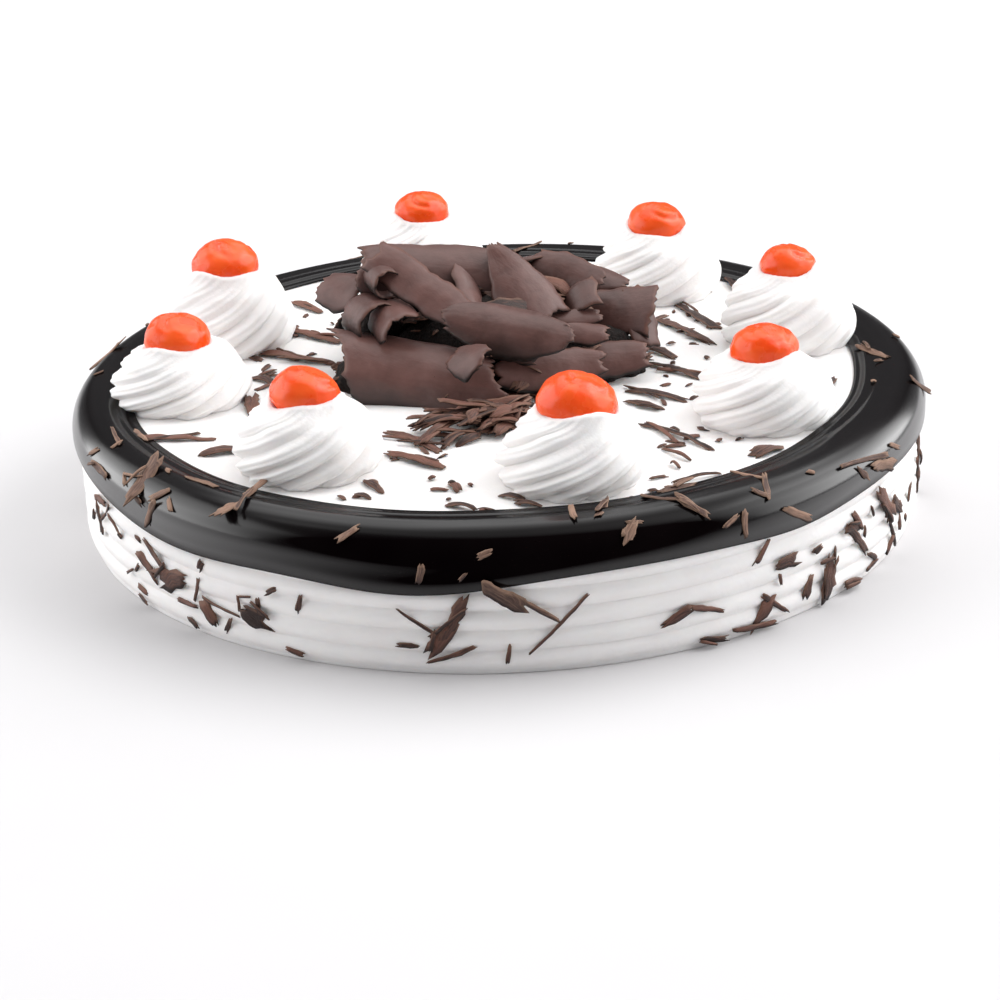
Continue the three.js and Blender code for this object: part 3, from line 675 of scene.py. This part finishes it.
def rosette_rings(height, cherry_half, lean, heading, seed):
    rows = [*swirl, (1, cherry_half + 1.0, 0.3, 140)]
    columns = ridges * ridge_columns
    rings = []
    for i in range(swirl_rows + 1):
        share = i / swirl_rows
        radius, groove, turn = swirl_at(rows, share)
        ring = []
        for j in range(columns):
            around = 360 * j / columns
            warped = around + 3 * sind(2 * around + 70 * seed) + 2 * sind(5 * around + 31 * seed)
            ridge = warped / 360 * ridges
            valley = 0.5 + 0.5 * math.cos(2 * math.pi * ridge + 0.7 * math.sin(2 * math.pi * ridge))
            depth = groove * (0.4 + 0.7 * chance(seed * 11 + math.floor(ridge) % ridges))
            azimuth = heading + turn + around
            r = radius - depth * valley ** 1.4 + 0.1 * math.cos(6 * math.pi * ridge)
            wave = share ** 6 * (1.1 * sind(2 * around + 50 * seed) + 0.7 * sind(3 * around + 90 * seed))
            p = round_point(r, azimuth, height * share + wave)
            p += p.normalized() * 0.8 * noise.noise(p / 9 + Vector((0, 0, seed * 9)))
            p.x += lean * share
            ring.append(p)
        rings.append(ring)
    for inward, down in rosette_lip:
        rim = rings[swirl_rows]
        middle = Vector((lean, 0, 0))
        inner = []
        for p in rim:
            out = Vector((p.x - middle.x, p.y, 0))
            inner.append(middle + out * (1 - inward / out.length) + Vector((0, 0, p.z - down)))
        rings.append(inner)
    return rings


for i, (azimuth, out, cherry_at, cherry_half, lean) in enumerate(toppings):
    place = round_point(out, azimuth, cake_top)
    rings = rosette_rings(cherry_at - rim_below_cherry, cherry_half, lean, azimuth + next_heading * i, i + 1)
    rings = [[p + place for p in ring] for ring in rings]
    rosette = mesh_object(f"rosette_swirl_{i + 1}", *skin(rings), cream)
    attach(rosette, "root")
    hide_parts(f"rosette_{i + 1}")

# Glace cherries: stoned cherries cooked in syrup, bright orange red and glossy, squashed a little, with a dent
# where the stone came out and a soft crease beside it. Each is pressed into the top of its rosette.
cherry_depth_share = 0.94
cherry_height_share = 0.76
cherry_steps = 64
dent_depth = 0.1
dent_spread = 0.18
crease_reach = 0.62
crease_depth = 0.13


def cherry_rings(half_width, seed):
    """Rings from the bottom up of a ball that is squashed, dented, creased and tipped a little"""
    tipped = Matrix.Rotation(math.radians(16 * chance(seed + 0.4) - 8), 3, "X")
    tipped @= Matrix.Rotation(math.radians(16 * chance(seed + 0.8) - 8), 3, "Y")
    facing_dent = Vector((0.35, -0.25, 0.9)).normalized()
    dent_side = Matrix.Rotation(math.radians(25 * math.sin(seed * 2.4)), 3, "Z")
    rings = []
    for i in range(1, cherry_steps // 2):
        polar = 360 * i / cherry_steps
        ring = []
        for j in range(cherry_steps):
            ball = round_point(sind(polar), 360 * j / cherry_steps, -cosd(polar))
            toward = dent_side @ facing_dent
            away = math.acos(max(-1, min(1, ball.dot(toward))))
            size = 1 - dent_depth * math.exp(-away * away / dent_spread)
            one_side = 0.5 + 0.5 * math.sin(math.atan2(ball.y, ball.x) * 2 + seed)
            size -= crease_depth * one_side * math.exp(-(((away - crease_reach) / 0.1) ** 2))
            size += 0.05 * noise.noise(ball * 1.6 + Vector((seed * 5, 0, 0)))
            size += 0.03 * noise.noise(ball * 4 + Vector((seed * 3, 0, 0)))
            ball *= size * half_width
            ring.append(tipped @ Vector((ball.x, ball.y * cherry_depth_share, ball.z * cherry_height_share)))
        rings.append(ring)
    return rings


cherry_finish, cherry_sockets, point = finish(
    "glace cherry",
    Roughness=0.16,
    IOR=1.45,
    Subsurface_Weight=0.25,
    Subsurface_Radius=(1.0, 0.25, 0.08),
    Subsurface_Scale=0.003,
)
flesh = point.noise(0.16, 3.0)
flesh.spread(0.3, 0.7).mix(shade(250, 74, 10), shade(255, 98, 34)).into(cherry_sockets["Base Color"])
(flesh * 0.2 + 0.18).into(cherry_sockets["Roughness"])
(flesh * 1.5 + point.noise(0.8, 2.0) * 0.1).bump(0.25).into(cherry_sockets["Normal"])

for i, (azimuth, out, cherry_at, cherry_half, lean) in enumerate(toppings):
    place = round_point(out, azimuth, cake_top + cherry_at) + Vector((lean, 0, 0))
    rings = [[p + place for p in ring] for ring in cherry_rings(cherry_half, i + 1)]
    cherry = mesh_object(f"cherry_glace_{i + 1}", *skin(rings), cherry_finish)
    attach(cherry, "root")
    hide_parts(f"cherry_{i + 1}")

# Chocolate curls: broad sheets shaved off a block of dark chocolate with a knife, which rolled up as they came
# away and broke at their edges. They are heaped on the middle of the cake by hand.
curl_thickness = 1.1
curl_grid = 1.1
curls = [
    # place of its back above the cream, width along the roll's axis, length round it, radius, turn, shape
    ((-20.5, -25, 8.2), 44, 31, 12, (-14, -6, 55), {"point": 0.4, "skew": 0.3, "taper": 0.2}),
    ((-8, -30.5, 15), 12, 13, 9, (-40, 10, 38), {"leaf": 0.5}),
    ((3, -22, 20.4), 36, 19, 8.5, (-17, -7, 45), {"leaf": 0.6}),
    ((2.2, -20, 12.4), 18, 6, 9, (-22, -10, 70), {"leaf": 0.6}),
    ((14.3, -22, 8), 30, 13, 12, (10, 2, 50), {"leaf": 0.6}),
    ((-21, -7, 28.4), 33, 12, 14, (-38, -22, 38), {"leaf": 0.2}),
    ((-18, 4, 29.6), 38, 22, 13, (0, -3, 42), {"leaf": 0.3}),
    ((6.5, -3, 26.6), 28, 20, 14, (-55, -34, 20), {"point": -0.8}),
    ((34.5, 2, 16.2), 20, 16, 16, (-20, 0, 40), {"cone": 0.2}),
    ((40.5, 0, 14.2), 20, 10, 10, (-80, -35, -10), {"leaf": 0.3}),
    ((31.5, -13, 7), 20, 12, 12, (6, 2, 45), {"leaf": 0.5}),
    ((-39, -8, 20.5), 12, 34, 6.4, (-62, 0, 62), {}),
    ((-29.5, -12, 22), 13, 18, 7, (-70, -5, 30), {"leaf": 0.3}),
    ((-43, 6, 24), 14, 15, 9, (-40, 0, 35), {"leaf": 0.3}),
    ((-34, -3, 28.4), 9, 18, 4, (-70, 0, 80), {}),
    ((20.3, 8, 25.4), 22, 12, 12, (-30, -12, 45), {"leaf": 0.3}),
    ((23, -2, 21), 11, 12, 9, (-80, -20, 40), {}),
    ((-6.6, -2, 25.5), 18, 9, 7, (-75, -25, -30), {"leaf": 0.4}),
    ((21.7, -12, 14.5), 18, 8, 8, (-8, -3, 40), {"leaf": 0.5}),
    ((22, -8, 17.4), 14, 6, 10, (4, 2, 30), {"leaf": 0.3}),
    ((29.5, 16, 21), 18, 10, 9, (-28, -8, 20), {"leaf": 0.5}),
    ((-16, 27, 12), 36, 24, 14, (172, 4, 52), {"cone": 0.1, "leaf": 0.2}),
    ((20, 26, 10), 30, 18, 10, (150, -4, 48), {"leaf": 0.5}),
    ((-36, 16, 13), 20, 16, 11, (-140, 6, 46), {"leaf": 0.4}),
    ((2, 17, 25), 28, 16, 12, (-172, -6, 34), {"leaf": 0.4}),
]


def curl_rows(index, wide, long, radius, cone=0, point=0, leaf=0, skew=0, taper=0):
    """A piece of a rolled sheet, its axis along X and its back up: it widens along the roll by `cone`, narrows
    to one end by `point` and to both by `leaf`, slants by `skew` and is drawn in below by `taper`"""
    round_rows = max(8, math.ceil(long / curl_grid))
    wide_rows = max(8, math.ceil(wide / curl_grid))
    rows = []
    for j in range(wide_rows + 1):
        v = j / wide_rows - 0.5
        pointed = abs(point) * (v * math.copysign(1, point) + 0.5) ** 2
        row = []
        for i in range(round_rows + 1):
            u = i / round_rows - 0.5
            torn = 1 + 0.05 * math.sin(9 * v + index) + 0.015 * math.sin(23 * v + 2 * index)
            tear = noise.noise(Vector((v * wide * 0.35, index * 3.1, 5 if u > 0 else 1)))
            torn += (1.8 / long) * tear * abs(2 * u)
            arc = long * (1 - pointed - leaf * (2 * v) ** 2) * torn
            ragged = 1 + 0.05 * math.sin(7 * u + index) + 0.01 * math.sin(19 * u + 3 * index)
            fringe = noise.noise(Vector((u * long * 0.6, index * 5.7, 9 if v > 0 else 4)))
            ragged += (3.2 / wide) * fringe * abs(2 * v) ** 3
            turned = u * arc / radius
            chatter = 0.04 * math.sin(2.4 * u * long + index)
            chatter += 0.5 * noise.noise(Vector((v * wide, u * long, index)) / 9)
            r = radius * (1 + cone * v) + chatter
            x = v * wide * ragged * (1 - taper * u) + skew * u * wide
            row.append(Vector((x, -r * math.sin(turned), r * math.cos(turned) - radius)))
        rows.append(row)
    return rows


# Its first colour is painted shade: with an upward share of 0.52 it darkens the curls' sides and undersides as
# well, as the shade inside the pile would.
curl_chocolate = chocolate(
    "shaved chocolate", (24, 14, 11), (68, 44, 39), (118, 84, 78), (104, 70, 58), 0.12, 0.2, 0.2, 0.52
)
for index, (at, wide, long, radius, (heading, tilt, roll), shape) in enumerate(curls):
    seat = (
        Matrix.Translation(Vector(at) + Vector((0, 0, cake_top)))
        @ Matrix.Rotation(math.radians(heading), 4, "Z")
        @ Matrix.Rotation(math.radians(-tilt), 4, "Y")
        @ Matrix.Rotation(math.radians(roll), 4, "X")
    )
    curl = Shavings()
    curl.add(curl_rows(index, wide, long, radius, **shape), curl_thickness, seat, index)
    curl.made(f"curl_sheet_{index + 1}", curl_chocolate, f"curl_{index + 1}")

# Fine shavings: the broken slivers that came off with the curls. They fill the pile as a mound that the curls
# stand in, and spill out at its foot in front. The mound's core is real crumbs, coloured near black as painted
# shade for the deep shade inside the pile.
mound_domes = [
    # middle, reach, height
    ((-1, 0), (38, 25.8), 22.7),
    ((-35, -7), (11, 9), 13),
    ((-29, 4), (14, 11), 26),
    ((32, -3), (10, 9), 13),
    ((0, 8), (20, 12), 29),
]
dome_power = 2.6
dome_shares = (1, 0.96, 0.9, 0.8, 0.68, 0.54, 0.4, 0.25, 0.1)
dome_columns = 72
shard_thickness = 0.9
mound_strews = [
    # middle, reach, height, share buried, count, seed, lengths, widths, slope
    (*mound_domes[0], 0.7, 150, 1000, (6, 18), (2, 5), 35),
    (*mound_domes[1], 0.7, 26, 1230, (4, 11), (1.5, 3.5), 35),
    ((4, 9), (35, 24), 24, 0.1, 110, 1300, (6, 18), (2, 5), 45),
]
foot_strews = [
    ((-6, -45), (15, 10), 5, 0.8, 42, 1500, (5, 20), (1, 3.4), 28),
    ((1, -43), (10, 8), 6, 0.6, 44, 1600, (4, 12), (1.4, 4.4), 40),
]


def dome_height(height, out):
    return height * (1 - out ** dome_power)


def dome_rings(middle, reach, height, seed):
    """A bumpy dome of packed crumbs"""
    rings = []
    for share in dome_shares:
        ring = []
        for j in range(dome_columns):
            around = 360 * j / dome_columns
            x = reach[0] * share * cosd(around)
            y = reach[1] * share * sind(around)
            p = Vector((x, y, dome_height(height, share)))
            p += p.normalized() * 1.6 * noise.noise(p / 3.5 + Vector((0, 0, seed)))
            ring.append(p + Vector((*middle, cake_top - 0.4)))
        rings.append(ring)
    return rings


def strew(shavings, middle, reach, height, buried, count, seed, lengths, widths, slope):
    """Shards strewn over a dome, the deepest `buried` as a share of its height, and tipped by up to `slope`"""
    for n in range(seed, seed + count):
        azimuth = 360 * chance(n)
        out = math.sqrt(chance(n + 0.2))
        x = middle[0] + reach[0] * out * cosd(azimuth)
        y = middle[1] + reach[1] * out * sind(azimuth)
        above = dome_height(height, out) * (1 - buried * chance(n + 0.9))
        place = Vector((x, y, cake_top + 0.5 + above))
        tip = Matrix.Rotation(math.radians(slope * (2 * chance(n + 0.4) - 1)), 4, "X")
        dip = Matrix.Rotation(math.radians(slope * (chance(n + 0.6) - 0.5)), 4, "Y")
        turn = Matrix.Rotation(math.radians(85 * chance(n + 0.8) - 20), 4, "Z")
        length = lengths[0] + (lengths[1] - lengths[0]) * chance(n + 0.1) ** 1.5
        width = widths[0] + (widths[1] - widths[0]) * chance(n + 0.3)
        rows = sliver(length, width, 0.16 * length * chance(n + 0.5), n)
        shavings.add(rows, shard_thickness, Matrix.Translation(place) @ turn @ tip @ dip, n)


packed, packed_sockets, point = finish("chocolate crumbs, darkened with painted shade", Roughness=0.7, IOR=1.3)
crumbs = point.noise(0.7, 4.0, 0.6)
# Painted shade: the core's crumbs are near black, far darker than the chocolate of the shards strewn on them.
crumbs.spread(0.35, 0.7).mix(shade(13, 8, 6), shade(32, 20, 16)).into(packed_sockets["Base Color"])
crumbs.bump(1.2).into(packed_sockets["Normal"])

crumb_points = []
crumb_faces = []
for n, (middle, reach, height) in enumerate(mound_domes):
    points, faces = skin(dome_rings(middle, reach, height, n))
    crumb_faces += [tuple(len(crumb_points) + k for k in face) for face in faces]
    crumb_points += points
crumb_mound = mesh_object("crumb_mound", crumb_points, crumb_faces, packed)
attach(crumb_mound, "root")
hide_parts("shavings_mound")

shards = Shavings()
for strewn in mound_strews:
    strew(shards, *strewn)
shards.made("shards_mound", flake_chocolate, "shavings_mound")
foot = Shavings()
for strewn in foot_strews:
    strew(foot, *strewn)
foot.made("shards_foot", flake_chocolate, "shavings_foot")
